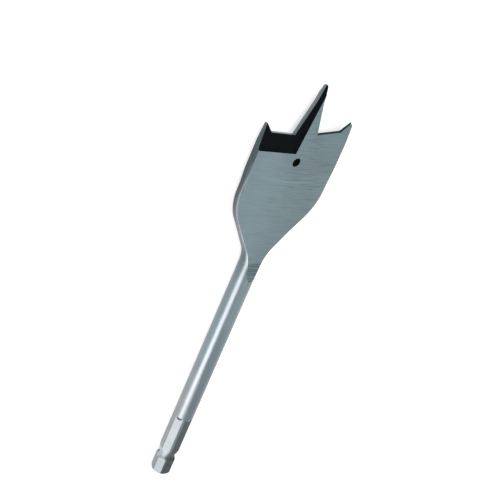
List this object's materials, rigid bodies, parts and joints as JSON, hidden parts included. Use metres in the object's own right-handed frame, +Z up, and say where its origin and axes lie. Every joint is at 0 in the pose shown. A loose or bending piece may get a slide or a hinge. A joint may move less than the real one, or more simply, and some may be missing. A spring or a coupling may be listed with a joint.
{
  "type": "spade drill bit",
  "caption": "Flat spade drill bit with centre point, spurred corners, hollow-ground cutting faces, hanging hole and a grooved hex shank.",
  "frame": {"origin": "on the floor, straight below the middle of the bit's length and its axis", "axes": "+Y runs along the bit from the shank end to the point, +Z up is the normal of the blade's upper face, +X across the blade"},
  "size_m": [0.035, 0.152, 0.0069],
  "materials": {
    "ground_steel": "ground blade faces, darker forged edges and shank, dark hollow-ground cutting recesses"
  },
  "bodies": {
    "root": {"spade_bit": "ground_steel"}
  },
  "joints": []
}
